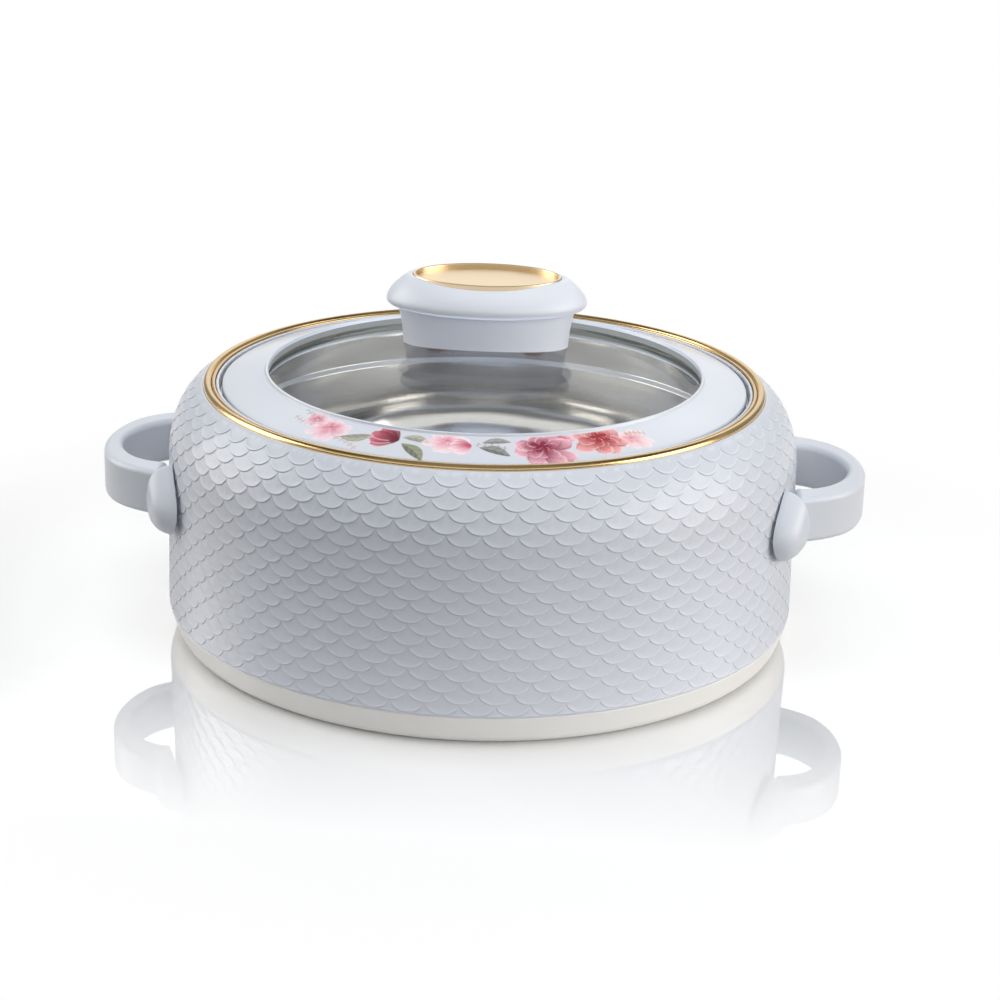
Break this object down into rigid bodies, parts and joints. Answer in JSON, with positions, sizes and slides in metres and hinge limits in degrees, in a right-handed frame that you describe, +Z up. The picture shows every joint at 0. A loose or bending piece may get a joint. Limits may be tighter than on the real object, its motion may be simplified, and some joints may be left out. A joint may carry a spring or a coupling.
{
  "type": "insulated casserole",
  "caption": "Round double-walled insulated casserole with a steel bowl, fish-scale shell, gold ring, two loop handles and a lift-off domed glass lid with an oval knob.",
  "frame": {"origin": "on the vertical axis of the body, at the floor under the foot ring", "axes": "+Z up, +X towards the right-hand handle, -Y towards the front, where the lid's print is"},
  "size_m": [0.2946, 0.2436, 0.1387],
  "materials": {
    "shell_plastic": "glossy white plastic with a raised fish-scale relief",
    "base_plastic": "semi-gloss ivory white",
    "foam": "matt pale yellow polyurethane foam",
    "bowl_steel": "polished stainless steel, spun",
    "lid_plastic": "glossy white, printed flowers on the front arc of the lid ring",
    "gold_trim": "vacuum-metallised gold",
    "handle_plastic": "satin white",
    "screw_steel": "bright zinc plate",
    "seal_silicone": "translucent white silicone",
    "lid_glass": "clear tempered glass with a faint green edge",
    "gasket_silicone": "grey silicone",
    "knob_plastic": "satin white",
    "grommet_rubber": "brown silicone"
  },
  "bodies": {
    "pot": {"outer_shell": "shell_plastic", "base_cover": "base_plastic", "foam_fill_plug": "base_plastic", "insulation_foam": "foam", "inner_bowl": "bowl_steel", "top_collar": "lid_plastic", "gold_trim_ring": "gold_trim", "handle_left": "handle_plastic", "handle_right": "handle_plastic", "handle_screws": "screw_steel", "handle_washers": "screw_steel"},
    "lid": {"lid_ring": "lid_plastic", "lid_under_ring": "lid_plastic", "lid_seal": "seal_silicone", "lid_glass": "lid_glass", "glass_gasket": "gasket_silicone", "knob_body": "knob_plastic", "knob_cap": "knob_plastic", "knob_plate": "gold_trim", "knob_grommets": "grommet_rubber", "knob_screws": "screw_steel"}
  },
  "joints": [
    {"name": "lid_lift", "type": "slide", "parent": "pot", "child": "lid", "axis": [0, 0, 1], "range_m": [0, 0.15]}
  ]
}
